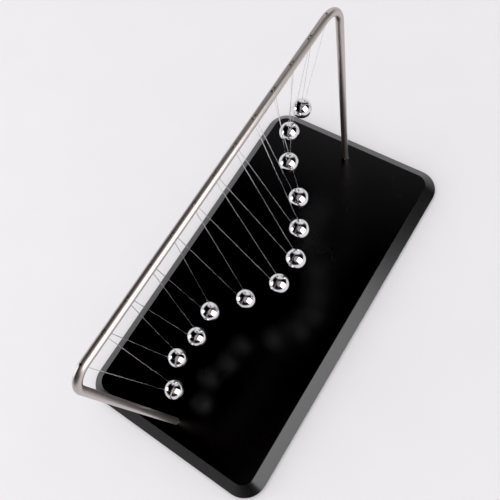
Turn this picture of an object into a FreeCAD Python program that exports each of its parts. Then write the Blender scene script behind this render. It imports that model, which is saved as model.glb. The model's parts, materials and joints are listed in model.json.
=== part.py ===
import FreeCAD, Part
import math
import os
import Sketcher

# Pendulum wave desk toy: a black bevelled slab carries one bent steel rod, and twelve steel balls
# hang below the rod on thread Vs whose lengths shorten evenly in swing count along the row.
#
# Frame: +X along the rod towards the shortest pendulum, +Y across it, +Z up.
# The origin is on the table, in the middle of the four foot pads.

doc = FreeCAD.newDocument("pendulum_wave_toy")

# ------------------------------------------------------------------ driving dimensions
sheet = doc.addObject("Spreadsheet::Sheet", "Sizes")

SIZES = [
    # slab
    ("slab_length", 229.0, "outline at the bottom edge, along the rod"),
    ("slab_width", 123.5, "outline at the bottom edge, across the rod"),
    ("slab_thickness", 7.2, "without the pads"),
    ("slab_corner_radius", 14.0, "outline corner; the bevel leaves a tighter one on top"),
    ("bevel_run", 6.6, "how far the bevel comes in"),
    ("bevel_drop", 6.2, "how far the bevel comes down; the rest is an upright edge"),
    ("socket_depth", 5.5, "blind hole for each rod end"),
    # pads
    ("pad_diameter", 10.0, "self-adhesive rubber dot"),
    ("pad_height", 1.0, "thickness of the dot"),
    ("pad_inset", 14.0, "slab outline to pad centre"),
    # rod
    ("rod_diameter", 4.0, "polished round rod"),
    ("rod_half_span", 98.9, "slab centre to the axis of an upright"),
    ("rod_rise", 135.4, "slab top face to the axis of the level stretch"),
    ("near_bend_radius", 10.5, "on the rod's axis"),
    ("far_bend_radius", 13.0, "on the rod's axis"),
    ("cross_hole_diameter", 0.8, "upright holes for the thread ends"),
    # row of pendulums
    ("pendulum_pitch", 15.0, "ball to ball along the rod"),
    ("row_offset", -1.1, "middle of the row of holes, from the middle of the rod"),
    ("vee_width", 13.2, "between the two holes of one thread"),
    ("ball_diameter", 11.1, "polished steel ball, 7/16 inch"),
    # thread
    ("thread_diameter", 0.3, "clear nylon monofilament"),
    ("thread_gap", 0.3, "rod surface to the free part of the thread"),
    ("plug_length", 1.6, "glue inside each cross hole"),
    # drops of the same glue on top of the rod, as ellipsoids that the rod cuts off
    ("drop_centre_rise", 1.3, "rod axis to an ellipsoid's centre"),
    ("drop_half_height", 1.1, "upright half axis of an ellipsoid"),
    ("drop_half_width", 0.95, "half axis across the rod"),
    ("drop_half_length", 2.0, "half axis along the rod, over two holes"),
    ("end_drop_half_length", 1.1, "half axis along the rod, over one hole"),
    # drilling of each ball: two slanted bores that meet inside
    ("bore_diameter", 0.9, "thread channel"),
    ("bore_half_spacing", 1.9, "ball centre line to the mouth of a bore"),
    ("bore_slant", 35.0, "degrees from the ball's own upright"),
    ("bore_bend_radius", 0.6, "where the thread turns round inside the ball"),
]

for row, (alias, value, note) in enumerate(SIZES, start=1):
    sheet.set(f"A{row}", alias)
    sheet.set(f"B{row}", str(value))
    sheet.set(f"C{row}", note)
    sheet.setAlias(f"B{row}", alias)
doc.recompute()


def size(alias):
    """The sheet's value of one driving dimension."""
    return float(sheet.get(alias))


def bind(obj, **expressions):
    """Tie properties to the sheet; a double underscore in a name stands for a dot."""
    for name, expression in expressions.items():
        obj.setExpression(name.replace("__", "."), expression)


# ------------------------------------------------------------------ pendulum lengths and poses
# The whole pattern repeats every CYCLE seconds. In that time the slowest pendulum makes
# SLOWEST_SWINGS full swings and each next one makes exactly one more.
GRAVITY = 9810.0
CYCLE = 30.0
SLOWEST_SWINGS = 46

# Lean of each pendulum away from hanging, in degrees about +X, shortest pendulum first.
LEANS = [13.3, 12.3, 5.4, -6.1, -12.6, -17.0, -15.2, -6.4, 2.8, 2.6, 4.8, 1.0]
COUNT = len(LEANS)


def pendulum_length(index):
    """Hinge line to ball centre for a pendulum, counted from the shortest."""
    swings = SLOWEST_SWINGS + COUNT - 1 - index
    period = CYCLE / swings
    return GRAVITY * (period / (2 * math.pi)) ** 2


def pendulum_x(index):
    """Place of a pendulum along the rod."""
    return size("row_offset") + size("pendulum_pitch") * ((COUNT - 1) / 2 - index)


def node_number(index):
    return f"{index + 1:02d}"


slab_top = size("pad_height") + size("slab_thickness")
rod_axis_z = slab_top + size("rod_rise")
rod_under_z = rod_axis_z - size("rod_diameter") / 2


# ------------------------------------------------------------------ sketch helpers
def origin_plane(body, role):
    return next(feature for feature in body.Origin.OriginFeatures if feature.Role == role)


def sketch_on(body, role, name):
    sketch = body.newObject("Sketcher::SketchObject", name)
    sketch.AttachmentSupport = [(origin_plane(body, role), "")]
    sketch.MapMode = "FlatFace"
    return sketch


def vector(x, y, z=0.0):
    return FreeCAD.Vector(x, y, z)


def line(start, end):
    return Part.LineSegment(vector(*start), vector(*end))


def quarter_arc(centre, radius, start_degrees):
    """A quarter turn, anticlockwise from the start angle."""
    circle = Part.Circle(vector(*centre), vector(0, 0, 1), radius)
    start = math.radians(start_degrees)
    return Part.ArcOfCircle(circle, start, start + math.pi / 2)


def constrain(sketch, kind, *args, bound_to=None):
    """Add one constraint, and tie its value to the sheet if an expression is given."""
    index = sketch.addConstraint(Sketcher.Constraint(kind, *args))
    if bound_to:
        sketch.setExpression(f"Constraints[{index}]", bound_to)
    return index


START, END, CENTRE = 1, 2, 3
ORIGIN = (-1, 1)
X_AXIS, Y_AXIS = -1, -2


def circle_at(sketch, x, y, diameter, x_bound, y_bound, diameter_bound):
    """A circle placed from the sketch's origin, all three values bound."""
    index = sketch.addGeometry(Part.Circle(vector(x, y), vector(0, 0, 1), diameter / 2), False)
    constrain(sketch, "DistanceX", *ORIGIN, index, CENTRE, x, bound_to=x_bound)
    constrain(sketch, "DistanceY", *ORIGIN, index, CENTRE, y, bound_to=y_bound)
    constrain(sketch, "Diameter", index, diameter, bound_to=diameter_bound)
    return index


# ------------------------------------------------------------------ base slab
# A rounded rectangular slab, bevelled all round from the top, with a blind socket near the
# middle of each short edge for the rod's ends.
def make_base_slab():
    body = doc.addObject("PartDesign::Body", "BaseSlab")
    body.Label = "base_slab"
    half_x = size("slab_length") / 2
    half_y = size("slab_width") / 2
    radius = size("slab_corner_radius")

    outline = sketch_on(body, "XY_Plane", "SlabOutline")
    flat_x = half_x - radius
    flat_y = half_y - radius
    outline.addGeometry(
        [
            line((-flat_x, -half_y), (flat_x, -half_y)),
            quarter_arc((flat_x, -flat_y), radius, 270),
            line((half_x, -flat_y), (half_x, flat_y)),
            quarter_arc((flat_x, flat_y), radius, 0),
            line((flat_x, half_y), (-flat_x, half_y)),
            quarter_arc((-flat_x, flat_y), radius, 90),
            line((-half_x, flat_y), (-half_x, -flat_y)),
            quarter_arc((-flat_x, -flat_y), radius, 180),
        ],
        False,
    )
    for piece in range(8):
        constrain(outline, "Tangent", piece, END, (piece + 1) % 8, START)
    for arc in (3, 5, 7):
        constrain(outline, "Equal", 1, arc)
    constrain(outline, "Horizontal", 0)
    constrain(outline, "Vertical", 2)
    constrain(outline, "Symmetric", 0, START, 4, START, *ORIGIN)
    constrain(outline, "Radius", 1, radius, bound_to="Sizes.slab_corner_radius")
    constrain(outline, "DistanceX", 0, START, 0, END, 2 * flat_x,
              bound_to="Sizes.slab_length - 2 * Sizes.slab_corner_radius")
    constrain(outline, "DistanceY", 2, START, 2, END, 2 * flat_y,
              bound_to="Sizes.slab_width - 2 * Sizes.slab_corner_radius")

    slab = body.newObject("PartDesign::Pad", "SlabBlock")
    slab.Profile = outline
    bind(slab, Length="Sizes.slab_thickness")
    doc.recompute()

    bevel = body.newObject("PartDesign::Chamfer", "SlabBevel")
    thickness = size("slab_thickness")
    top_edges = [
        f"Edge{number}"
        for number, edge in enumerate(slab.Shape.Edges, start=1)
        if min(vertex.Z for vertex in edge.Vertexes) > thickness - 0.01
    ]
    bevel.Base = (slab, top_edges)
    bevel.ChamferType = "Two distances"
    bind(bevel, Size="Sizes.bevel_drop", Size2="Sizes.bevel_run")
    doc.recompute()
    top_length = max(face.BoundBox.XLength for face in bevel.Shape.Faces
                     if face.BoundBox.ZMin > thickness - 0.01)
    if abs(top_length - (size("slab_length") - 2 * size("bevel_run"))) > 0.01:
        bevel.FlipDirection = True

    sockets = sketch_on(body, "XY_Plane", "SocketCircles")
    bind(sockets, AttachmentOffset__Base__z="Sizes.slab_thickness")
    for side in (-1, 1):
        circle_at(
            sockets, side * size("rod_half_span"), 0.0, size("rod_diameter"),
            f"{side} * Sizes.rod_half_span", "0", "Sizes.rod_diameter",
        )
    pocket = body.newObject("PartDesign::Pocket", "RodSockets")
    pocket.Profile = sockets
    bind(pocket, Length="Sizes.socket_depth")

    bind(body, Placement__Base__z="Sizes.pad_height")
    return body


# ------------------------------------------------------------------ foot pads
# Four rubber dots under the corners lift the slab clear of the table.
def make_foot_pads():
    pads = []
    for x_name, x_side in (("near", -1), ("far", 1)):
        for y_name, y_side in (("right", -1), ("left", 1)):
            pad = doc.addObject("Part::Cylinder", f"Pad{x_name.title()}{y_name.title()}")
            pad.Label = f"foot_pad_{x_name}_{y_name}"
            bind(
                pad,
                Radius="Sizes.pad_diameter / 2",
                Height="Sizes.pad_height",
                Placement__Base__x=f"{x_side} * (Sizes.slab_length / 2 - Sizes.pad_inset)",
                Placement__Base__y=f"{y_side} * (Sizes.slab_width / 2 - Sizes.pad_inset)",
            )
            pads.append(pad)
    return pads


# ------------------------------------------------------------------ frame rod
# One round rod bent into an arch. It is drilled upright through the level stretch, two holes
# to a thread, and its ends are pressed into the slab.
def make_frame_rod():
    body = doc.addObject("PartDesign::Body", "FrameRod")
    body.Label = "frame_rod"
    half_span = size("rod_half_span")
    near_bend, far_bend = size("near_bend_radius"), size("far_bend_radius")
    rise = size("rod_rise") + size("socket_depth")
    near_level, far_level = half_span - near_bend, half_span - far_bend

    path = sketch_on(body, "XZ_Plane", "RodPath")
    path.addGeometry(
        [
            line((half_span, 0), (half_span, rise - far_bend)),
            quarter_arc((far_level, rise - far_bend), far_bend, 0),
            line((far_level, rise), (-near_level, rise)),
            quarter_arc((-near_level, rise - near_bend), near_bend, 90),
            line((-half_span, rise - near_bend), (-half_span, 0)),
        ],
        False,
    )
    for piece in range(4):
        constrain(path, "Tangent", piece, END, piece + 1, START)
    constrain(path, "Vertical", 0)
    constrain(path, "Symmetric", 0, START, 4, END, *ORIGIN)
    constrain(path, "Radius", 1, far_bend, bound_to="Sizes.far_bend_radius")
    constrain(path, "Radius", 3, near_bend, bound_to="Sizes.near_bend_radius")
    constrain(path, "DistanceX", 4, END, 0, START, 2 * half_span,
              bound_to="2 * Sizes.rod_half_span")
    constrain(path, "DistanceY", 0, START, 1, END, rise,
              bound_to="Sizes.rod_rise + Sizes.socket_depth")

    section = sketch_on(body, "XY_Plane", "RodSection")
    circle_at(section, half_span, 0.0, size("rod_diameter"),
              "Sizes.rod_half_span", "0", "Sizes.rod_diameter")

    arch = body.newObject("PartDesign::AdditivePipe", "RodArch")
    arch.Profile = section
    arch.Spine = path

    first_pair = sketch_on(body, "XY_Plane", "FirstHolePair")
    first_x = pendulum_x(COUNT - 1)
    half_vee = size("vee_width") / 2
    first_bound = f"Sizes.row_offset - {(COUNT - 1) / 2} * Sizes.pendulum_pitch"
    for side in (-1, 1):
        circle_at(
            first_pair, first_x + side * half_vee, 0.0, size("cross_hole_diameter"),
            f"{first_bound} + {side} * Sizes.vee_width / 2", "0", "Sizes.cross_hole_diameter",
        )
    drilled = body.newObject("PartDesign::Pocket", "CrossHoles")
    drilled.Profile = first_pair
    drilled.Reversed = True
    drilled.Type = "ThroughAll"

    pattern = body.newObject("PartDesign::LinearPattern", "HoleRow")
    pattern.Originals = [drilled]
    pattern.Direction = (origin_plane(body, "X_Axis"), [""])
    pattern.Occurrences = COUNT
    bind(pattern, Length=f"{COUNT - 1} * Sizes.pendulum_pitch")
    body.Tip = pattern

    bind(body, Placement__Base__z="Sizes.pad_height + Sizes.slab_thickness - Sizes.socket_depth")
    return body


# ------------------------------------------------------------------ balls
# A ball is drilled from two points near its top so that the bores meet inside. The thread runs
# in through one and out through the other. A ball's own +Z points up its thread.
def swing_placement(index, distance):
    """Placement at a distance below the hinge line, turned by the pendulum's lean."""
    turn = FreeCAD.Rotation(vector(1, 0, 0), LEANS[index])
    hinge = vector(pendulum_x(index), 0, rod_under_z)
    return FreeCAD.Placement(hinge + turn.multVec(vector(0, 0, -distance)), turn)


def bore_mouth_height():
    """Height above the ball's centre where a bore's axis meets the ball's surface."""
    return math.sqrt((size("ball_diameter") / 2) ** 2 - size("bore_half_spacing") ** 2)


def bore_meeting_height():
    """Height above the ball's centre where the two bore axes cross."""
    fall = size("bore_half_spacing") / math.tan(math.radians(size("bore_slant")))
    return bore_mouth_height() - fall


def make_ball(index):
    number = node_number(index)
    sphere = doc.addObject("Part::Sphere", f"BallRound{number}")
    bind(sphere, Radius="Sizes.ball_diameter / 2")
    # The sphere's poles and seam are turned away from the bores.
    sphere.Placement = FreeCAD.Placement(vector(0, 0, 0), FreeCAD.Rotation(vector(1, 0, 0), 90))
    bores = []
    for side_name, side in (("A", -1), ("B", 1)):
        bore = doc.addObject("Part::Cylinder", f"BallBore{side_name}{number}")
        bind(bore, Radius="Sizes.bore_diameter / 2", Height="Sizes.ball_diameter")
        slant = FreeCAD.Rotation(vector(0, 1, 0), side * size("bore_slant"))
        bore.Placement = FreeCAD.Placement(vector(0, 0, bore_meeting_height()), slant)
        bores.append(bore)
    channel = doc.addObject("Part::MultiFuse", f"BallChannel{number}")
    channel.Shapes = bores
    ball = doc.addObject("Part::Cut", f"Ball{number}")
    ball.Base = sphere
    ball.Tool = channel
    ball.Label = f"ball_{number}"
    ball.Placement = swing_placement(index, pendulum_length(index))
    return ball


# ------------------------------------------------------------------ threads
# Each thread is one length of monofilament: straight down from its first hole, through the ball
# and straight up to its second hole. Its bends are tangent arcs.
def rounded_wire(points, radii):
    """Straight runs through the points, with one arc of the given radius at each inner point."""
    edges = []
    run_start = points[0]
    for before, corner, after, radius in zip(points, points[1:], points[2:], radii):
        inward = (before - corner).normalize()
        outward = (after - corner).normalize()
        half_angle = inward.getAngle(outward) / 2
        setback = radius / math.tan(half_angle)
        to_middle = (inward + outward).normalize()
        middle = corner + to_middle * (radius / math.sin(half_angle) - radius)
        arc_start = corner + inward * setback
        arc_end = corner + outward * setback
        edges.append(Part.LineSegment(run_start, arc_start).toShape())
        edges.append(Part.Arc(arc_start, middle, arc_end).toShape())
        run_start = arc_end
    edges.append(Part.LineSegment(run_start, points[-1]).toShape())
    return Part.Wire(edges)


def thread_path(index):
    """The thread's middle line, in the frame of its ball."""
    length = pendulum_length(index)
    hole = vector(size("vee_width") / 2, 0, length)
    mouth = vector(size("bore_half_spacing"), 0, bore_mouth_height())
    leg = (mouth - hole).normalize()
    top = hole + leg * size("thread_gap")
    meeting = vector(0, 0, bore_meeting_height())
    mirrored = [vector(-point.x, 0, point.z) for point in (mouth, top)]
    bend = size("bore_bend_radius")
    return rounded_wire([top, mouth, meeting, *mirrored], [bend, bend, bend])


def make_thread(index):
    path = thread_path(index)
    first = path.Edges[0]
    start = first.valueAt(first.FirstParameter)
    section = Part.Circle(start, first.tangentAt(first.FirstParameter), size("thread_diameter") / 2)
    profile = Part.Wire([section.toShape()])
    thread = doc.addObject("Part::Feature", f"Thread{node_number(index)}")
    thread.Label = f"thread_{node_number(index)}"
    thread.Shape = path.makePipeShell([profile], True, True)
    thread.Placement = swing_placement(index, pendulum_length(index))
    return thread


# ------------------------------------------------------------------ thread ends
# Inside the rod, each end of a thread stands upright in its hole and a plug of clear glue holds
# it. The ends of one thread are its own length, but they do not swing.
def hole_positions():
    half_vee = size("vee_width") / 2
    return [pendulum_x(index) + side * half_vee for index in range(COUNT) for side in (-1, 1)]


def make_thread_ends():
    ends = doc.addObject("Part::Feature", "ThreadEnds")
    ends.Label = "thread_ends"
    radius = size("thread_diameter") / 2
    length = (size("rod_diameter") + size("plug_length")) / 2
    ends.Shape = Part.makeCompound(
        [Part.makeCylinder(radius, length, vector(x, 0, 0)) for x in hole_positions()]
    )
    ends.Placement = FreeCAD.Placement(vector(0, 0, rod_under_z), FreeCAD.Rotation())
    return ends


def make_glue_plugs():
    plugs = doc.addObject("Part::Feature", "GluePlugs")
    plugs.Label = "glue_plugs"
    outer = size("cross_hole_diameter") / 2
    inner = size("thread_diameter") / 2
    length = size("plug_length")
    plugs.Shape = Part.makeCompound(
        [
            Part.makeCylinder(outer, length, vector(x, 0, 0)).cut(
                Part.makeCylinder(inner, length, vector(x, 0, 0))
            )
            for x in hole_positions()
        ]
    )
    plugs.Placement = FreeCAD.Placement(
        vector(0, 0, rod_axis_z - length / 2), FreeCAD.Rotation()
    )
    return plugs


# ------------------------------------------------------------------ glue drops
# A flat drop of glue seals the holes on top of the rod: one over each pair of neighbouring
# holes, and a shorter one over the single hole at each end of the row. They are kept in three
# groups along the rod, so that each group is meshed finely enough for such thin drops.
def glue_drop(x, half_length):
    stretch = FreeCAD.Matrix()
    stretch.scale(half_length, size("drop_half_width"), size("drop_half_height"))
    stretch.move(vector(x, 0, size("drop_centre_rise")))
    ellipsoid = Part.makeSphere(1.0).transformGeometry(stretch)
    reach = half_length + 1
    round_rod = Part.makeCylinder(
        size("rod_diameter") / 2, 2 * reach, vector(x - reach, 0, 0), vector(1, 0, 0)
    )
    return ellipsoid.cut(round_rod)


def make_glue_drops():
    holes = sorted(hole_positions())
    shapes = [glue_drop(holes[0], size("end_drop_half_length"))]
    for first, second in zip(holes[1:-1:2], holes[2:-1:2]):
        shapes.append(glue_drop((first + second) / 2, size("drop_half_length")))
    shapes.append(glue_drop(holes[-1], size("end_drop_half_length")))
    groups = []
    for label, members in (("near", shapes[:4]), ("middle", shapes[4:9]), ("far", shapes[9:])):
        drops = doc.addObject("Part::Feature", f"GlueDrops_{label}")
        drops.Label = f"glue_drops_{label}"
        drops.Shape = Part.makeCompound(members)
        drops.Placement = FreeCAD.Placement(vector(0, 0, rod_axis_z), FreeCAD.Rotation())
        groups.append(drops)
    return groups


# ------------------------------------------------------------------ build
sub_parts = [make_base_slab(), *make_foot_pads(), make_frame_rod()]
for pendulum in range(COUNT):
    sub_parts.append(make_ball(pendulum))
    sub_parts.append(make_thread(pendulum))
sub_parts += [make_thread_ends(), make_glue_plugs(), *make_glue_drops()]
doc.recompute()

for obj in doc.Objects:
    if {"Invalid", "Error"} & set(obj.State):
        raise RuntimeError(f"{obj.Label} did not build: {obj.State}")
for sub_part in sub_parts:
    if sub_part.Shape.isNull() or not sub_part.Shape.isValid():
        raise RuntimeError(f"{sub_part.Label} has no valid shape")

for pendulum in range(COUNT):
    thread_length = thread_path(pendulum).Length
    print(
        f"pendulum {node_number(pendulum)}: {pendulum_length(pendulum):.2f} mm long,"
        f" thread between the holes {thread_length:.1f} mm,"
        f" arc radii {size('bore_bend_radius')} mm"
    )

os.makedirs("parts", exist_ok=True)
for sub_part in sub_parts:
    sub_part.Shape.exportStep(f"parts/{sub_part.Label}.step")
    print(f"{sub_part.Label}: {sub_part.Shape.Volume:.2f} mm3, {len(sub_part.Shape.Solids)} solid(s)")
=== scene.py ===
import json
import math

import bmesh
import bpy
from mathutils import Matrix, Vector


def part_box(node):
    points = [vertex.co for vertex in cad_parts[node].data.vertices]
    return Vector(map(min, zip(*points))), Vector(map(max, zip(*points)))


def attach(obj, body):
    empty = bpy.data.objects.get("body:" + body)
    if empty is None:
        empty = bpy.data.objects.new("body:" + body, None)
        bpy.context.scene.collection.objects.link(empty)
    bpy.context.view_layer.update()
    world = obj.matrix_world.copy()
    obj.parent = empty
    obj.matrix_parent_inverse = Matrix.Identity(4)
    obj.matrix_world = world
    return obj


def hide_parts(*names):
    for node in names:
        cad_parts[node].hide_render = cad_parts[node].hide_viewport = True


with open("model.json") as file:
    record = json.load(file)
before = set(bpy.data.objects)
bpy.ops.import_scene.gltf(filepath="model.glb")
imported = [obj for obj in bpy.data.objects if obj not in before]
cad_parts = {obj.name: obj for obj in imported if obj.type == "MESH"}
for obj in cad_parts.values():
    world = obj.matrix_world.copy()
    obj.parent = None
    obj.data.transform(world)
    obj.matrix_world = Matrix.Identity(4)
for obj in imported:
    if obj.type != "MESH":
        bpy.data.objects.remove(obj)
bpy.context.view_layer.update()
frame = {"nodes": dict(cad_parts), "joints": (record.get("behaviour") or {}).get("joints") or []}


# ---------------------------------------------------------------- base slab
# The base is a slab of dense fibreboard with rounded corners. Its top edge is planed to a broad
# bevel, all of it is sprayed with satin black lacquer, and one blind socket is drilled near the
# middle of each short edge for the rod.
MM = 0.001
SLAB_CORNER = 14 * MM
BEVEL_RUN = 6.6 * MM
BEVEL_DROP = 6.2 * MM
EDGE_SOFTENING = 0.3 * MM
QUARTER_TURN = math.radians(90)
SOCKET_DEPTH = 5.5 * MM
CORNER_STEPS = 24

slab_low, slab_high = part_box("base_slab")
rod_low, rod_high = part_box("frame_rod")
ROD_RADIUS = (rod_high.y - rod_low.y) / 2
half_span = rod_high.x - ROD_RADIUS


def linear(hex_text, alpha=1.0):
    """An sRGB hex colour as the linear values that a shader takes."""
    channels = []
    for start in (1, 3, 5):
        value = int(hex_text[start:start + 2], 16) / 255
        channels.append(value / 12.92 if value <= 0.04045 else ((value + 0.055) / 1.055) ** 2.4)
    return (*channels, alpha)


def add_node(tree, kind, inputs=None, **settings):
    """Add a node, set its properties, and set or link its inputs by name or number."""
    node = tree.nodes.new(kind)
    for name, value in settings.items():
        setattr(node, name, value)
    for socket, value in (inputs or {}).items():
        if isinstance(value, bpy.types.NodeSocket):
            tree.links.new(value, node.inputs[socket])
        else:
            node.inputs[socket].default_value = value
    return node


def new_material(name):
    """An empty material with a Principled shader: returns material, tree and shader."""
    material = bpy.data.materials.new(name)
    material.use_nodes = True
    tree = material.node_tree
    tree.nodes.clear()
    shader = add_node(tree, "ShaderNodeBsdfPrincipled")
    add_node(tree, "ShaderNodeOutputMaterial", {"Surface": shader.outputs["BSDF"]})
    return material, tree, shader


def new_piece(name, mesh, material, body):
    """A finished mesh as a piece that rides on a body."""
    piece = bpy.data.objects.new(name, mesh)
    bpy.context.scene.collection.objects.link(piece)
    mesh.materials.clear()
    mesh.materials.append(material)
    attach(piece, body)
    return piece


def finished_mesh(source):
    """The source object's evaluated mesh as a plain mesh. The source object is removed."""
    graph = bpy.context.evaluated_depsgraph_get()
    mesh = bpy.data.meshes.new_from_object(source.evaluated_get(graph), depsgraph=graph)
    bpy.data.objects.remove(source)
    return mesh


def satin_black_lacquer():
    """Sprayed satin lacquer: deep black, a soft broad gloss, faint orange peel, a little dust."""
    material, tree, shader = new_material("satin_black_lacquer")
    place = add_node(tree, "ShaderNodeTexCoord").outputs["Object"]
    # Dust grains settle about 9 mm apart, and only some of the places hold one.
    grains = add_node(tree, "ShaderNodeTexVoronoi", {"Vector": place, "Scale": 1 / (9 * MM)})
    grain_size = add_node(tree, "ShaderNodeMath", {0: grains.outputs["Distance"], 1: 0.026},
                          operation="LESS_THAN")
    chance = add_node(tree, "ShaderNodeSeparateColor", {"Color": grains.outputs["Color"]})
    chosen = add_node(tree, "ShaderNodeMath", {0: chance.outputs["Red"], 1: 0.82},
                      operation="GREATER_THAN")
    dusty = add_node(tree, "ShaderNodeMath", {0: grain_size.outputs[0], 1: chosen.outputs[0]},
                     operation="MULTIPLY")
    colour = add_node(tree, "ShaderNodeMix", {"Factor": dusty.outputs[0],
                                              "A": linear("#020203"), "B": linear("#4c4945")},
                      data_type="RGBA")
    tree.links.new(colour.outputs["Result"], shader.inputs["Base Color"])
    # Cloudiness of the sprayed film, some 25 mm across.
    clouds = add_node(tree, "ShaderNodeTexNoise", {"Vector": place, "Scale": 1 / (25 * MM),
                                                   "Detail": 3.0})
    gloss = add_node(tree, "ShaderNodeMapRange", {"Value": clouds.outputs["Fac"],
                                                  "To Min": 0.24, "To Max": 0.29})
    tree.links.new(gloss.outputs["Result"], shader.inputs["Roughness"])
    # Orange peel, 0.7 mm from bump to bump.
    peel = add_node(tree, "ShaderNodeTexNoise", {"Vector": place, "Scale": 1 / (0.7 * MM),
                                                 "Detail": 2.0})
    bump = add_node(tree, "ShaderNodeBump", {"Height": peel.outputs["Fac"], "Strength": 0.12,
                                             "Distance": 0.02 * MM})
    tree.links.new(bump.outputs["Normal"], shader.inputs["Normal"])
    return material


def slab_ring(mesh, inset, height):
    """Vertices of the slab's rounded outline, brought in by an inset, at one height."""
    corner = SLAB_CORNER - inset
    ring = []
    for quarter, (side_x, side_y) in enumerate([(1, 1), (-1, 1), (-1, -1), (1, -1)]):
        middle_x = side_x * (slab_high.x - SLAB_CORNER)
        middle_y = side_y * (slab_high.y - SLAB_CORNER)
        for step in range(CORNER_STEPS + 1):
            turn = QUARTER_TURN * (quarter + step / CORNER_STEPS)
            ring.append(mesh.verts.new((middle_x + corner * math.cos(turn),
                                        middle_y + corner * math.sin(turn), height)))
    return ring


def stack_rings(mesh, rings):
    """Join rings of equal length from the bottom up, and close both ends."""
    for lower, upper in zip(rings, rings[1:]):
        for index in range(len(lower)):
            after = (index + 1) % len(lower)
            mesh.faces.new((lower[index], lower[after], upper[after], upper[index]))
    mesh.faces.new(list(reversed(rings[0])))
    mesh.faces.new(rings[-1])


def make_base_slab():
    """The bevelled slab with its two rod sockets and slightly softened edges."""
    shape = bmesh.new()
    stack_rings(shape, [slab_ring(shape, 0, slab_low.z),
                        slab_ring(shape, 0, slab_high.z - BEVEL_DROP),
                        slab_ring(shape, BEVEL_RUN, slab_high.z)])
    mesh = bpy.data.meshes.new("slab_shape")
    shape.to_mesh(mesh)
    shape.free()
    mesh.shade_smooth()
    source = bpy.data.objects.new("slab_source", mesh)
    bpy.context.scene.collection.objects.link(source)

    drills = bmesh.new()
    for side in (-1, 1):
        middle = Vector((side * half_span, 0, slab_high.z))
        bmesh.ops.create_cone(drills, cap_ends=True, segments=48, radius1=ROD_RADIUS,
                              radius2=ROD_RADIUS, depth=2 * SOCKET_DEPTH,
                              matrix=Matrix.Translation(middle))
    drill_mesh = bpy.data.meshes.new("socket_drills")
    drills.to_mesh(drill_mesh)
    drills.free()
    drill = bpy.data.objects.new("socket_drills", drill_mesh)
    bpy.context.scene.collection.objects.link(drill)

    sockets = source.modifiers.new("sockets", "BOOLEAN")
    sockets.operation = "DIFFERENCE"
    sockets.solver = "EXACT"
    sockets.object = drill
    softened = source.modifiers.new("softened_edges", "BEVEL")
    softened.width = EDGE_SOFTENING
    softened.segments = 3
    softened.limit_method = "ANGLE"
    softened.angle_limit = math.radians(25)
    softened.harden_normals = True
    result = finished_mesh(source)
    bpy.data.objects.remove(drill)
    piece = new_piece("black_slab", result, satin_black_lacquer(), "stand")
    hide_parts("base_slab")


make_base_slab()


# ---------------------------------------------------------------- foot pads
# Four self-adhesive rubber dots hold the slab just clear of the desk, one under each corner.
# Each is a punched disc with a slightly rounded lower edge.
PAD_NODES = ["foot_pad_near_right", "foot_pad_near_left", "foot_pad_far_right",
             "foot_pad_far_left"]
PAD_EDGE = 0.2 * MM


def matt_rubber():
    """Black rubber sheet: no gloss, with a fine moulded grain."""
    material, tree, shader = new_material("matt_black_rubber")
    place = add_node(tree, "ShaderNodeTexCoord").outputs["Object"]
    grain = add_node(tree, "ShaderNodeTexNoise", {"Vector": place, "Scale": 1 / (0.3 * MM)})
    shade = add_node(tree, "ShaderNodeMix", {"Factor": grain.outputs["Fac"],
                                             "A": linear("#141414"), "B": linear("#222221")},
                     data_type="RGBA")
    tree.links.new(shade.outputs["Result"], shader.inputs["Base Color"])
    shader.inputs["Roughness"].default_value = 0.85
    bump = add_node(tree, "ShaderNodeBump", {"Height": grain.outputs["Fac"], "Strength": 0.3,
                                             "Distance": 0.03 * MM})
    tree.links.new(bump.outputs["Normal"], shader.inputs["Normal"])
    return material


def new_tree(name, inputs):
    """A geometry tree with named inputs: returns tree, group input node, output node."""
    tree = bpy.data.node_groups.new(name, "GeometryNodeTree")
    tree.interface.new_socket("Geometry", in_out="INPUT", socket_type="NodeSocketGeometry")
    for label, kind in inputs.items():
        tree.interface.new_socket(label, in_out="INPUT", socket_type=kind)
    tree.interface.new_socket("Geometry", in_out="OUTPUT", socket_type="NodeSocketGeometry")
    return tree, add_node(tree, "NodeGroupInput"), add_node(tree, "NodeGroupOutput")


def grow(name, tree, base, **values):
    """Run a geometry tree on a base mesh or curve and return the plain mesh it makes."""
    source = bpy.data.objects.new(name, base)
    bpy.context.scene.collection.objects.link(source)
    modifier = source.modifiers.new(name, "NODES")
    modifier.node_group = tree
    for item in tree.interface.items_tree:
        if item.in_out == "INPUT" and item.name in values:
            modifier[item.identifier] = values[item.name]
    return finished_mesh(source)


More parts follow.
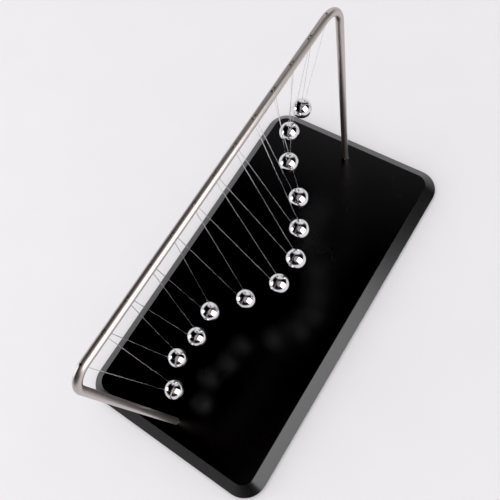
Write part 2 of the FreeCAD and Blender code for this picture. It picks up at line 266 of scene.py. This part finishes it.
def pad_tree():
    """A disc with a rounded lower edge on every point of the base mesh."""
    tree, given, output = new_tree("foot_pads", {"Radius": "NodeSocketFloat",
                                                 "Height": "NodeSocketFloat",
                                                 "Edge": "NodeSocketFloat",
                                                 "Finish": "NodeSocketMaterial"})
    narrow = add_node(tree, "ShaderNodeMath", {0: given.outputs["Radius"],
                                               1: given.outputs["Edge"]}, operation="SUBTRACT")
    body_height = add_node(tree, "ShaderNodeMath", {0: given.outputs["Height"],
                                                    1: given.outputs["Edge"]},
                           operation="SUBTRACT")
    lip = add_node(tree, "GeometryNodeMeshCone", {"Vertices": 64, "Side Segments": 1,
                                                  "Radius Top": given.outputs["Radius"],
                                                  "Radius Bottom": narrow.outputs[0],
                                                  "Depth": given.outputs["Edge"]})
    disc = add_node(tree, "GeometryNodeMeshCone", {"Vertices": 64, "Side Segments": 1,
                                                   "Radius Top": given.outputs["Radius"],
                                                   "Radius Bottom": given.outputs["Radius"],
                                                   "Depth": body_height.outputs[0]})
    lift = add_node(tree, "ShaderNodeCombineXYZ", {"Z": given.outputs["Edge"]})
    lifted = add_node(tree, "GeometryNodeTransform", {"Geometry": disc.outputs["Mesh"],
                                                      "Translation": lift.outputs[0]})
    joined = add_node(tree, "GeometryNodeJoinGeometry")
    tree.links.new(lip.outputs["Mesh"], joined.inputs[0])
    tree.links.new(lifted.outputs["Geometry"], joined.inputs[0])
    # The two caps where lip and disc meet lie inside the pad, so they are taken out.
    spot = add_node(tree, "GeometryNodeInputPosition")
    rise = add_node(tree, "ShaderNodeSeparateXYZ", {"Vector": spot.outputs[0]})
    inside = add_node(tree, "FunctionNodeCompare", {"A": rise.outputs["Z"],
                                                    "B": given.outputs["Edge"],
                                                    "Epsilon": 0.01 * MM},
                      data_type="FLOAT", operation="EQUAL")
    shell = add_node(tree, "GeometryNodeDeleteGeometry", {"Geometry": joined.outputs[0],
                                                          "Selection": inside.outputs[0]},
                     domain="FACE")
    whole = add_node(tree, "GeometryNodeMergeByDistance", {"Geometry": shell.outputs[0],
                                                           "Distance": 0.001 * MM})
    placed = add_node(tree, "GeometryNodeInstanceOnPoints", {"Points": given.outputs["Geometry"],
                                                             "Instance": whole.outputs[0]})
    real = add_node(tree, "GeometryNodeRealizeInstances", {"Geometry": placed.outputs[0]})
    finished = add_node(tree, "GeometryNodeSetMaterial", {"Geometry": real.outputs[0],
                                                          "Material": given.outputs["Finish"]})
    tree.links.new(finished.outputs[0], output.inputs["Geometry"])
    return tree


def make_foot_pads():
    """Four pads as one piece, each where its CAD node is."""
    boxes = [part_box(node) for node in PAD_NODES]
    points = bpy.data.meshes.new("pad_places")
    points.from_pydata([((low.x + high.x) / 2, (low.y + high.y) / 2, low.z)
                        for low, high in boxes], [], [])
    low, high = boxes[0]
    rubber = matt_rubber()
    mesh = grow("foot_pads", pad_tree(), points, Radius=(high.x - low.x) / 2,
                Height=high.z - low.z, Edge=PAD_EDGE, Finish=rubber)
    piece = new_piece("rubber_foot_pads", mesh, rubber, "stand")
    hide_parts(*PAD_NODES)


make_foot_pads()


# ---------------------------------------------------------------- frame rod
# The frame is one length of 4 mm stainless bar, bent cold into an arch, then polished along its
# length. Twenty-four holes are drilled upright through its top run, two for each thread.
NEAR_BEND = 10.5 * MM
FAR_BEND = 13 * MM
HOLE_RADIUS = 0.4 * MM
THREAD_RADIUS = 0.15 * MM
LEVEL_Z = rod_high.z - ROD_RADIUS

joints = sorted(frame["joints"], key=lambda joint: joint["name"])
hinge_points = [Vector(joint["pos_m"]) for joint in joints]
HALF_VEE = (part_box("thread_01")[1].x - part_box("thread_01")[0].x) / 2 - THREAD_RADIUS


def polished_stainless():
    """Bar polished along its length: a warm mirror that blurs across the fine drawn lines."""
    material, tree, shader = new_material("polished_stainless_bar")
    grain = add_node(tree, "ShaderNodeAttribute", attribute_name="grain").outputs["Vector"]
    # The lines run 14 mm along the bar and lie about 0.15 mm apart.
    lines = add_node(tree, "ShaderNodeMapping", {"Vector": grain,
                                                 "Scale": (1 / (0.15 * MM), 1 / (0.15 * MM),
                                                           1 / (14 * MM))})
    streaks = add_node(tree, "ShaderNodeTexNoise", {"Vector": lines.outputs[0], "Scale": 1.0,
                                                    "Detail": 4.0})
    # Handling marks, about 8 mm long and 1 mm wide.
    smudge_place = add_node(tree, "ShaderNodeMapping", {"Vector": grain,
                                                        "Scale": (1 / (1 * MM), 1 / (1 * MM),
                                                                  1 / (8 * MM))})
    smudges = add_node(tree, "ShaderNodeTexNoise", {"Vector": smudge_place.outputs[0],
                                                    "Scale": 1.0, "Detail": 3.0})
    colour = add_node(tree, "ShaderNodeMix", {"Factor": smudges.outputs["Fac"],
                                              "A": linear("#b3aba8"), "B": linear("#c9c2be")},
                      data_type="RGBA")
    tree.links.new(colour.outputs["Result"], shader.inputs["Base Color"])
    shader.inputs["Metallic"].default_value = 1.0
    gloss = add_node(tree, "ShaderNodeMapRange", {"Value": smudges.outputs["Fac"],
                                                  "To Min": 0.28, "To Max": 0.42})
    tree.links.new(gloss.outputs["Result"], shader.inputs["Roughness"])
    bump = add_node(tree, "ShaderNodeBump", {"Height": streaks.outputs["Fac"],
                                             "Strength": 0.8, "Distance": 0.03 * MM})
    tree.links.new(bump.outputs["Normal"], shader.inputs["Normal"])
    return material


def round_bar_tree():
    """A round bar along a cornered path. Each corner becomes an arc as large as its point's
    radius, and the surface keeps its place round and along the bar as "grain"."""
    tree, given, output = new_tree("round_bar", {"Radius": "NodeSocketFloat",
                                                 "Arc steps": "NodeSocketInt",
                                                 "Spacing": "NodeSocketFloat",
                                                 "Sides": "NodeSocketInt",
                                                 "Finish": "NodeSocketMaterial"})
    bend = add_node(tree, "GeometryNodeInputRadius")
    arcs = add_node(tree, "GeometryNodeFilletCurve", {"Curve": given.outputs["Geometry"],
                                                      "Radius": bend.outputs[0],
                                                      "Count": given.outputs["Arc steps"],
                                                      "Limit Radius": True}, mode="POLY")
    plain = add_node(tree, "GeometryNodeSetCurveRadius", {"Curve": arcs.outputs[0],
                                                          "Radius": 1.0})
    even = add_node(tree, "GeometryNodeResampleCurve", {"Curve": plain.outputs[0],
                                                        "Length": given.outputs["Spacing"]},
                    mode="LENGTH")
    run = add_node(tree, "GeometryNodeSplineParameter")
    path = add_node(tree, "GeometryNodeCaptureAttribute", {"Geometry": even.outputs[0]})
    path.capture_items.new("FLOAT", "along")
    tree.links.new(run.outputs["Length"], path.inputs["along"])
    ring = add_node(tree, "GeometryNodeCurvePrimitiveCircle",
                    {"Radius": given.outputs["Radius"], "Resolution": given.outputs["Sides"]})
    spot = add_node(tree, "GeometryNodeInputPosition")
    section = add_node(tree, "GeometryNodeCaptureAttribute", {"Geometry": ring.outputs["Curve"]})
    section.capture_items.new("VECTOR", "around")
    tree.links.new(spot.outputs[0], section.inputs["around"])
    bar = add_node(tree, "GeometryNodeCurveToMesh",
                   {"Curve": path.outputs["Geometry"],
                    "Profile Curve": section.outputs["Geometry"], "Fill Caps": True})
    parts = add_node(tree, "ShaderNodeSeparateXYZ", {"Vector": section.outputs["around"]})
    grain = add_node(tree, "ShaderNodeCombineXYZ", {"X": parts.outputs["X"],
                                                    "Y": parts.outputs["Y"],
                                                    "Z": path.outputs["along"]})
    stored = add_node(tree, "GeometryNodeStoreNamedAttribute",
                      {"Geometry": bar.outputs["Mesh"], "Name": "grain",
                       "Value": grain.outputs[0]}, data_type="FLOAT_VECTOR", domain="POINT")
    smooth = add_node(tree, "GeometryNodeSetShadeSmooth", {"Geometry": stored.outputs[0]})
    real = add_node(tree, "GeometryNodeRealizeInstances", {"Geometry": smooth.outputs[0]})
    finished = add_node(tree, "GeometryNodeSetMaterial", {"Geometry": real.outputs[0],
                                                          "Material": given.outputs["Finish"]})
    tree.links.new(finished.outputs[0], output.inputs["Geometry"])
    return tree


def cornered_path(name, points, bends):
    """A straight-run curve through the points, with the bend radius wanted at each corner."""
    curve = bpy.data.curves.new(name, "CURVE")
    curve.dimensions = "3D"
    spline = curve.splines.new("POLY")
    spline.points.add(len(points) - 1)
    for target, point, bend in zip(spline.points, points, [0, *bends, 0]):
        target.co = (*point, 1)
        target.radius = bend
    return curve


ROUND_BAR = round_bar_tree()


def drill_points():
    """Middle of every upright hole, on the axis of the level stretch."""
    return [Vector((hinge.x + side * HALF_VEE, 0, LEVEL_Z))
            for hinge in hinge_points for side in (-1, 1)]


def make_frame_rod():
    """The bent bar with its cross holes."""
    steel = polished_stainless()
    path = cornered_path("rod_path", [(-half_span, 0, rod_low.z), (-half_span, 0, LEVEL_Z),
                                      (half_span, 0, LEVEL_Z), (half_span, 0, rod_low.z)],
                         [NEAR_BEND, FAR_BEND])
    bar = grow("frame_bar", ROUND_BAR, path, Radius=ROD_RADIUS, Spacing=0.75 * MM, Sides=64,
               Finish=steel, **{"Arc steps": 24})
    source = bpy.data.objects.new("bar_source", bar)
    bpy.context.scene.collection.objects.link(source)

    drills = bmesh.new()
    for point in drill_points():
        bmesh.ops.create_cone(drills, cap_ends=True, segments=20, radius1=HOLE_RADIUS,
                              radius2=HOLE_RADIUS, depth=3 * ROD_RADIUS,
                              matrix=Matrix.Translation(point))
    drill_mesh = bpy.data.meshes.new("thread_drills")
    drills.to_mesh(drill_mesh)
    drills.free()
    drill = bpy.data.objects.new("thread_drills", drill_mesh)
    bpy.context.scene.collection.objects.link(drill)
    holes = source.modifiers.new("cross_holes", "BOOLEAN")
    holes.operation = "DIFFERENCE"
    holes.solver = "EXACT"
    holes.object = drill
    mesh = finished_mesh(source)
    bpy.data.objects.remove(drill)
    mesh.set_sharp_from_angle(angle=math.radians(40))
    piece = new_piece("bent_rod", mesh, steel, "stand")
    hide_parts("frame_rod")


make_frame_rod()


# ---------------------------------------------------------------- balls
# Twelve 7/16 inch (11.1 mm) ball-bearing balls of chrome steel, lapped to a mirror. Each is
# drilled from two points near its top so that the bores meet inside and its thread passes through.
BORE_RADIUS = 0.45 * MM
BORE_SPREAD = 1.9 * MM
BORE_SLANT = math.radians(35)
SKIN_SHARE = 0.98


def mirror_chrome_steel():
    """Lapped bearing steel: a cool mirror with barely visible fingerprints."""
    material, tree, shader = new_material("lapped_chrome_steel")
    place = add_node(tree, "ShaderNodeTexCoord").outputs["Object"]
    prints = add_node(tree, "ShaderNodeTexNoise", {"Vector": place, "Scale": 1 / (1.2 * MM),
                                                   "Detail": 4.0})
    colour = add_node(tree, "ShaderNodeMix", {"Factor": prints.outputs["Fac"],
                                              "A": linear("#dcdcde"), "B": linear("#e6e6e7")},
                      data_type="RGBA")
    tree.links.new(colour.outputs["Result"], shader.inputs["Base Color"])
    shader.inputs["Metallic"].default_value = 1.0
    gloss = add_node(tree, "ShaderNodeMapRange", {"Value": prints.outputs["Fac"],
                                                  "To Min": 0.01, "To Max": 0.06})
    tree.links.new(gloss.outputs["Result"], shader.inputs["Roughness"])
    return material


def pendulum_frame(number):
    """Middle of a ball, its turn from upright, and its distance from the hinge."""
    low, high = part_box(f"ball_{number:02d}")
    middle = (low + high) / 2
    hinge = hinge_points[number - 1]
    lean = math.atan2(middle.y - hinge.y, hinge.z - middle.z)
    return middle, Matrix.Rotation(lean, 4, "X"), (hinge - middle).length


def mouth_rise(radius):
    """Height of the bore mouths above the middle of the ball."""
    return math.sqrt(radius ** 2 - BORE_SPREAD ** 2)


def meeting_rise(radius):
    """Height at which the two bores meet inside the ball."""
    return mouth_rise(radius) - BORE_SPREAD / math.tan(BORE_SLANT)


def drilled_ball(radius):
    """One ball at the origin with its thread bores at the top."""
    shape = bmesh.new()
    bmesh.ops.create_uvsphere(shape, u_segments=96, v_segments=48, radius=radius,
                              matrix=Matrix.Rotation(math.radians(90), 4, "X"))
    mesh = bpy.data.meshes.new("ball_shape")
    shape.to_mesh(mesh)
    shape.free()
    mesh.shade_smooth()
    source = bpy.data.objects.new("ball_source", mesh)
    bpy.context.scene.collection.objects.link(source)
    tools = []
    for side in (-1, 1):
        drill = bmesh.new()
        out = Matrix.Rotation(side * BORE_SLANT, 4, "Y")
        start = Matrix.Translation((0, 0, meeting_rise(radius)))
        up = Matrix.Translation((0, 0, radius / 2))
        bmesh.ops.create_cone(drill, cap_ends=True, segments=32, radius1=BORE_RADIUS,
                              radius2=BORE_RADIUS, depth=radius, matrix=start @ out @ up)
        drill_mesh = bpy.data.meshes.new("bore_drill")
        drill.to_mesh(drill_mesh)
        drill.free()
        tool = bpy.data.objects.new("bore_drill", drill_mesh)
        bpy.context.scene.collection.objects.link(tool)
        bore = source.modifiers.new("bore", "BOOLEAN")
        bore.operation = "DIFFERENCE"
        bore.solver = "EXACT"
        bore.object = tool
        tools.append(tool)
    result = finished_mesh(source)
    for tool in tools:
        bpy.data.objects.remove(tool)
    return result


def make_balls():
    """One drilled ball for each pendulum, with the true sphere's normals on its skin."""
    steel = mirror_chrome_steel()
    low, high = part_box("ball_12")
    radius = (high.x - low.x) / 2
    pattern = drilled_ball(radius)
    for number in range(1, len(joints) + 1):
        middle, turn, _ = pendulum_frame(number)
        mesh = pattern.copy()
        mesh.transform(Matrix.Translation(middle) @ turn)
        mesh.update()
        normals = []
        for face in mesh.polygons:
            round_face = (face.center - middle).length > SKIN_SHARE * radius
            for loop in face.loop_indices:
                corner = mesh.vertices[mesh.loops[loop].vertex_index].co
                outward = (corner - middle).normalized()
                normals.append(outward if round_face else Vector(face.normal))
        mesh.normals_split_custom_set(normals)
        name = f"{number:02d}"
        piece = new_piece(f"steel_ball_{name}", mesh, steel, f"pendulum_{name}")
        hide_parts(f"ball_{name}")
    bpy.data.meshes.remove(pattern)


make_balls()


# ---------------------------------------------------------------- threads
# Each ball hangs on one length of clear nylon monofilament, 0.3 mm thick. It leaves the rod,
# runs straight down, turns round inside the ball's bores and runs straight up again.
THREAD_BEND = 0.6 * MM


def clear_monofilament():
    """Drawn nylon line: clear, glossy, seen only by the light that it bends."""
    material, tree, shader = new_material("clear_nylon_monofilament")
    grain = add_node(tree, "ShaderNodeAttribute", attribute_name="grain").outputs["Vector"]
    drawn = add_node(tree, "ShaderNodeMapping", {"Vector": grain,
                                                 "Scale": (1 / (0.2 * MM), 1 / (0.2 * MM),
                                                           1 / (6 * MM))})
    haze = add_node(tree, "ShaderNodeTexNoise", {"Vector": drawn.outputs[0], "Scale": 1.0})
    gloss = add_node(tree, "ShaderNodeMapRange", {"Value": haze.outputs["Fac"],
                                                  "To Min": 0.08, "To Max": 0.22})
    tree.links.new(gloss.outputs["Result"], shader.inputs["Roughness"])
    shader.inputs["Base Color"].default_value = linear("#f2f3f4")
    shader.inputs["Transmission Weight"].default_value = 1.0
    shader.inputs["IOR"].default_value = 1.53
    return material


def make_threads():
    """One thread V for each pendulum. Returns the nylon, which the fixed ends share."""
    nylon = clear_monofilament()
    low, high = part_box("ball_12")
    radius = (high.x - low.x) / 2
    for number in range(1, len(joints) + 1):
        middle, turn, length = pendulum_frame(number)
        place = Matrix.Translation(middle) @ turn
        corners = [(HALF_VEE, length), (BORE_SPREAD, mouth_rise(radius)),
                   (0, meeting_rise(radius)), (-BORE_SPREAD, mouth_rise(radius)),
                   (-HALF_VEE, length)]
        path = cornered_path("thread_path", [place @ Vector((x, 0, z)) for x, z in corners],
                             [THREAD_BEND] * 3)
        mesh = grow("thread_line", ROUND_BAR, path, Radius=THREAD_RADIUS, Spacing=0.4 * MM,
                    Sides=10, Finish=nylon, **{"Arc steps": 8})
        name = f"{number:02d}"
        piece = new_piece(f"thread_vee_{name}", mesh, nylon, f"pendulum_{name}")
        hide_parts(f"thread_{name}")
    return nylon


nylon = make_threads()


# ---------------------------------------------------------------- thread ends
# Inside the rod each thread end stands upright in its hole, which a plug of clear glue fills.
# They are the solids of the frame itself, with the same nylon and a clear set glue.
def clear_set_glue():
    """Set drops of clear glue: glassy and faintly amber, with a slightly uneven skin."""
    material, tree, shader = new_material("clear_set_glue")
    place = add_node(tree, "ShaderNodeTexCoord").outputs["Object"]
    skin = add_node(tree, "ShaderNodeTexNoise", {"Vector": place, "Scale": 1 / (0.9 * MM)})
    bump = add_node(tree, "ShaderNodeBump", {"Height": skin.outputs["Fac"], "Strength": 0.35,
                                             "Distance": 0.1 * MM})
    tree.links.new(bump.outputs["Normal"], shader.inputs["Normal"])
    shader.inputs["Base Color"].default_value = linear("#e9e4da")
    shader.inputs["Roughness"].default_value = 0.06
    shader.inputs["Transmission Weight"].default_value = 1.0
    shader.inputs["IOR"].default_value = 1.47
    return material


glue = clear_set_glue()
for node, finish in (("thread_ends", nylon), ("glue_plugs", glue)):
    solids = frame["nodes"][node]
    solids.data.materials.clear()
    solids.data.materials.append(finish)


# ---------------------------------------------------------------- glue drops
# On top of the rod a flat drop of the same glue seals each pair of neighbouring holes, and a
# shorter drop seals the single hole at each end of the row. Each drop hugs the round of the rod.
DROP_NODES = ["glue_drops_near", "glue_drops_middle", "glue_drops_far"]
DROP_HALF_LENGTH = 1.54 * MM
END_DROP_HALF_LENGTH = 0.84 * MM
DROP_RINGS = 8
DROP_SPOKES = 40
DROP_FULLNESS = 0.7
DROP_SINK = 0.02 * MM
FULL_TURN = 2 * math.pi

_, drop_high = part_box(DROP_NODES[0])
DROP_HEIGHT = drop_high.z - rod_high.z
DROP_HALF_WIDTH = drop_high.y


def drop_mesh(half_length):
    """A closed drop on a bar that lies along X, with the bar's axis through the origin."""
    shape = bmesh.new()
    skins = []
    for height, sink in ((DROP_HEIGHT, 0.0), (0.0, DROP_SINK)):
        rings = []
        for ring in range(1, DROP_RINGS + 1):
            reach = ring / DROP_RINGS
            out = ROD_RADIUS - sink + height * (1 - reach ** 2) ** DROP_FULLNESS
            points = []
            for spoke in range(DROP_SPOKES):
                turn = FULL_TURN * spoke / DROP_SPOKES
                around = DROP_HALF_WIDTH * reach * math.sin(turn) / ROD_RADIUS
                points.append(shape.verts.new((half_length * reach * math.cos(turn),
                                               out * math.sin(around), out * math.cos(around))))
            rings.append(points)
        top = shape.verts.new((0, 0, ROD_RADIUS - sink + height))
        skins.append((rings, top, height > 0))
    for rings, top, outside in skins:
        for spoke in range(DROP_SPOKES):
            after = (spoke + 1) % DROP_SPOKES
            faces = [(top, rings[0][spoke], rings[0][after])]
            for inner, outer in zip(rings, rings[1:]):
                faces.append((inner[spoke], outer[spoke], outer[after], inner[after]))
            for face in faces:
                shape.faces.new(face if outside else tuple(reversed(face)))
    for spoke in range(DROP_SPOKES):
        after = (spoke + 1) % DROP_SPOKES
        upper = skins[0][0][-1]
        lower = skins[1][0][-1]
        shape.faces.new((upper[spoke], lower[spoke], lower[after], upper[after]))
    mesh = bpy.data.meshes.new("drop_shape")
    shape.to_mesh(mesh)
    shape.free()
    mesh.shade_smooth()
    return mesh


def drop_row_tree():
    """One drop on every point of the base mesh."""
    tree, given, output = new_tree("drop_row", {"Drop": "NodeSocketObject",
                                                "Finish": "NodeSocketMaterial"})
    shape = add_node(tree, "GeometryNodeObjectInfo", {"Object": given.outputs["Drop"]})
    placed = add_node(tree, "GeometryNodeInstanceOnPoints",
                      {"Points": given.outputs["Geometry"],
                       "Instance": shape.outputs["Geometry"]})
    real = add_node(tree, "GeometryNodeRealizeInstances", {"Geometry": placed.outputs[0]})
    finished = add_node(tree, "GeometryNodeSetMaterial", {"Geometry": real.outputs[0],
                                                          "Material": given.outputs["Finish"]})
    tree.links.new(finished.outputs[0], output.inputs["Geometry"])
    return tree


def make_glue_drops():
    """All thirteen drops as one piece."""
    holes = sorted(drill_points(), key=lambda point: point.x)
    pairs = [(first + second) / 2 for first, second in zip(holes[1:-1:2], holes[2:-1:2])]
    tree = drop_row_tree()
    rows = []
    for label, half_length, places in (("pair", DROP_HALF_LENGTH, pairs),
                                       ("end", END_DROP_HALF_LENGTH, [holes[0], holes[-1]])):
        shape = bpy.data.objects.new(f"{label}_drop", drop_mesh(half_length))
        bpy.context.scene.collection.objects.link(shape)
        points = bpy.data.meshes.new(f"{label}_places")
        points.from_pydata([tuple(place) for place in places], [], [])
        rows.append(grow(f"{label}_drops", tree, points, Drop=shape, Finish=glue))
        bpy.data.objects.remove(shape)
    shape = bmesh.new()
    for row in rows:
        shape.from_mesh(row)
    mesh = bpy.data.meshes.new("all_drops")
    shape.to_mesh(mesh)
    shape.free()
    piece = new_piece("glue_drop_row", mesh, glue, "stand")
    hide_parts(*DROP_NODES)


make_glue_drops()


# ---------------------------------------------------------------- foot beads
# The rod's ends are glued into the slab. A little clear glue has been squeezed out round each
# foot and set there as a thin collar with one fatter bead.
COLLAR_WIDTH = 0.25 * MM
COLLAR_HEIGHT = 0.15 * MM
BEAD_WIDTH = 0.75 * MM
BEAD_HEIGHT = 0.45 * MM
BEAD_SPREAD = 0.34
BEAD_TURNS = {-1: math.radians(200.5), 1: math.radians(298.5)}
COLLAR_SPOKES = 96
COLLAR_STEPS = 8
COLLAR_FULLNESS = 0.8


def make_foot_beads():
    """A glue collar round each foot, swelling into one bead."""
    shape = bmesh.new()
    for side, bead_turn in BEAD_TURNS.items():
        sections = []
        for spoke in range(COLLAR_SPOKES):
            turn = FULL_TURN * spoke / COLLAR_SPOKES
            away = math.remainder(turn - bead_turn, FULL_TURN) / BEAD_SPREAD
            swell = math.exp(-away ** 2)
            width = COLLAR_WIDTH + BEAD_WIDTH * swell
            height = COLLAR_HEIGHT + BEAD_HEIGHT * swell
            across = Vector((math.cos(turn), math.sin(turn), 0))
            foot = Vector((side * half_span, 0, slab_high.z)) + across * ROD_RADIUS
            section = [shape.verts.new(foot)]
            for step in range(COLLAR_STEPS + 1):
                lift = QUARTER_TURN * step / COLLAR_STEPS
                out = width * math.cos(lift) ** COLLAR_FULLNESS
                up = Vector((0, 0, height * math.sin(lift)))
                section.append(shape.verts.new(foot + across * out + up))
            sections.append(section)
        for index, section in enumerate(sections):
            after = sections[(index + 1) % COLLAR_SPOKES]
            for point in range(len(section)):
                beside = (point + 1) % len(section)
                shape.faces.new((section[point], after[point], after[beside], section[beside]))
    bmesh.ops.recalc_face_normals(shape, faces=shape.faces)
    mesh = bpy.data.meshes.new("foot_beads")
    shape.to_mesh(mesh)
    shape.free()
    mesh.shade_smooth()
    mesh.set_sharp_from_angle(angle=math.radians(50))
    new_piece("glue_beads_at_feet", mesh, glue, "stand")


make_foot_beads()


# ---------------------------------------------------------------- floor
# The toy stands on a smooth pale table top, which is not part of it.
def pale_table():
    """Matt white laminate with a faint cool tint."""
    material, tree, shader = new_material("matt_white_laminate")
    place = add_node(tree, "ShaderNodeTexCoord").outputs["Object"]
    mottle = add_node(tree, "ShaderNodeTexNoise", {"Vector": place, "Scale": 1 / (40 * MM)})
    colour = add_node(tree, "ShaderNodeMix", {"Factor": mottle.outputs["Fac"],
                                              "A": linear("#e5e3e6"), "B": linear("#e9e7e9")},
                      data_type="RGBA")
    tree.links.new(colour.outputs["Result"], shader.inputs["Base Color"])
    shader.inputs["Roughness"].default_value = 0.7
    return material


FLOOR_HALF = 3.0
floor_mesh = bpy.data.meshes.new("table_top")
floor_mesh.from_pydata([(-FLOOR_HALF, -FLOOR_HALF, 0), (FLOOR_HALF, -FLOOR_HALF, 0),
                        (FLOOR_HALF, FLOOR_HALF, 0), (-FLOOR_HALF, FLOOR_HALF, 0)],
                       [], [(0, 1, 2, 3)])
floor_mesh.materials.append(pale_table())
floor = bpy.data.objects.new("table_top", floor_mesh)
bpy.context.scene.collection.objects.link(floor)


# ---------------------------------------------------------------- light
# A large softbox stands on the right, a smaller one low on the left, and a white wall beyond the
# far end. Most of the ceiling is dark. Glossy parts mirror all this, while matt surfaces are lit
# evenly from all round and by the left softbox only.
SOFTBOX_DISTANCE = 0.9
WALL_WAY = (0.85, 0.30, 0.43)
FAR_SIDE_WAY = (0.60, 0.80, 0.0)
BYSTANDER_WAY = (-0.20, -0.45, 0.87)


def softbox(name, direction, width, height, brightness, on_matt):
    """A rectangular light that faces the toy and may be hidden from matt surfaces."""
    lamp = bpy.data.lights.new(name, "AREA")
    lamp.shape = "RECTANGLE"
    lamp.size = width
    lamp.size_y = height
    lamp.energy = brightness * math.pi * width * height
    light = bpy.data.objects.new(name, lamp)
    bpy.context.scene.collection.objects.link(light)
    away = Vector(direction).normalized()
    light.location = away * SOFTBOX_DISTANCE
    light.rotation_euler = away.to_track_quat("Z", "Y").to_euler()
    light.visible_camera = False
    light.visible_diffuse = on_matt


softbox("softbox_right", (-0.04, -0.86, 0.52), 0.75, 0.86, 4.5, False)
softbox("softbox_left", (-0.545, 0.81, 0.26), 0.35, 0.5, 3.0, True)


DEEPEST_TONE = 0.005


def studio_air():
    """The room as glossy parts mirror it, and even light for matt surfaces."""
    world = bpy.data.worlds.new("studio")
    bpy.context.scene.world = world
    world.use_nodes = True
    tree = world.node_tree
    tree.nodes.clear()
    look = add_node(tree, "ShaderNodeTexCoord").outputs["Generated"]
    rise = add_node(tree, "ShaderNodeSeparateXYZ", {"Vector": look})
    towards_wall = add_node(tree, "ShaderNodeVectorMath", {0: look, 1: WALL_WAY},
                            operation="DOT_PRODUCT")
    wall = add_node(tree, "ShaderNodeMapRange", {"Value": towards_wall.outputs["Value"],
                                                 "From Min": 0.77, "From Max": 0.94,
                                                 "To Min": 0.0, "To Max": 0.95},
                    interpolation_type="SMOOTHSTEP")
    low = add_node(tree, "ShaderNodeMapRange", {"Value": rise.outputs["Z"], "From Min": 0.05,
                                                "From Max": 0.45, "To Min": 1.0,
                                                "To Max": 0.0},
                   interpolation_type="SMOOTHSTEP")
    far_half = add_node(tree, "ShaderNodeVectorMath", {0: look, 1: FAR_SIDE_WAY},
                        operation="DOT_PRODUCT")
    side = add_node(tree, "ShaderNodeMapRange", {"Value": far_half.outputs["Value"],
                                                 "From Min": 0.0, "From Max": 0.8,
                                                 "To Min": 0.04, "To Max": 0.95},
                    interpolation_type="SMOOTHSTEP")
    band = add_node(tree, "ShaderNodeMath", {0: low.outputs[0], 1: side.outputs[0]},
                    operation="MULTIPLY")
    brighter = add_node(tree, "ShaderNodeMath", {0: wall.outputs[0], 1: band.outputs[0]},
                        operation="MAXIMUM")
    # Warm and dim above the near end, as light skin and clothes are, with a small dark middle.
    towards_bystander = add_node(tree, "ShaderNodeVectorMath", {0: look, 1: BYSTANDER_WAY},
                           operation="DOT_PRODUCT")
    figure = add_node(tree, "ShaderNodeMapRange", {"Value": towards_bystander.outputs["Value"],
                                                   "From Min": 0.78, "From Max": 0.93,
                                                   "To Min": 0.006, "To Max": 0.55},
                      interpolation_type="SMOOTHSTEP")
    dark_middle = add_node(tree, "ShaderNodeMapRange", {"Value": towards_bystander.outputs["Value"],
                                                      "From Min": 0.994, "From Max": 0.998,
                                                      "To Min": 1.0, "To Max": 0.15},
                         interpolation_type="SMOOTHSTEP")
    dim = add_node(tree, "ShaderNodeMath", {0: figure.outputs[0], 1: dark_middle.outputs[0]},
                   operation="MULTIPLY")
    mirrored = add_node(tree, "ShaderNodeMath", {0: brighter.outputs[0], 1: dim.outputs[0]},
                        operation="ADD")
    nearness = add_node(tree, "ShaderNodeMapRange", {"Value": towards_bystander.outputs["Value"],
                                                     "From Min": 0.84, "From Max": 0.95})
    tint = add_node(tree, "ShaderNodeMix", {"Factor": nearness.outputs[0],
                                            "A": linear("#fcfafd"), "B": linear("#e3cfc8")},
                    data_type="RGBA")
    seen = add_node(tree, "ShaderNodeBackground", {"Color": tint.outputs["Result"],
                                                   "Strength": mirrored.outputs[0]})
    even = add_node(tree, "ShaderNodeBackground", {"Color": linear("#fefdfe"),
                                                   "Strength": 1.06})
    ray = add_node(tree, "ShaderNodeLightPath")
    air = add_node(tree, "ShaderNodeMixShader", {0: ray.outputs["Is Diffuse Ray"],
                                                 1: seen.outputs[0], 2: even.outputs[0]})
    add_node(tree, "ShaderNodeOutputWorld", {"Surface": air.outputs[0]})


studio_air()
tones = bpy.context.scene.view_settings
tones.view_transform = "Standard"
tones.use_curve_mapping = True
tones.curve_mapping.black_level = [DEEPEST_TONE] * 3
tones.curve_mapping.update()


# ---------------------------------------------------------------- camera
# The camera looks steeply down from above the near end.
EYE = Vector((-70.37, -103.07, 342.25)) * MM
AHEAD = Vector((0.226143, 0.336410, -0.914160))
RIGHTWARD = Vector((0.534487, -0.827433, -0.172274))
FOCAL_IN_WIDTHS = 573.62 / 500
SENSOR_WIDTH = 36

lens = bpy.data.cameras.new("camera")
lens.sensor_width = SENSOR_WIDTH
lens.lens = FOCAL_IN_WIDTHS * SENSOR_WIDTH
lens.clip_start = 0.01
lens.clip_end = 20
camera = bpy.data.objects.new("camera", lens)
bpy.context.scene.collection.objects.link(camera)
ahead = AHEAD.normalized()
upward = RIGHTWARD.cross(ahead).normalized()
rightward = ahead.cross(upward)
camera.matrix_world = Matrix.LocRotScale(
    EYE, Matrix((rightward, upward, -ahead)).transposed(), None)
bpy.context.scene.camera = camera
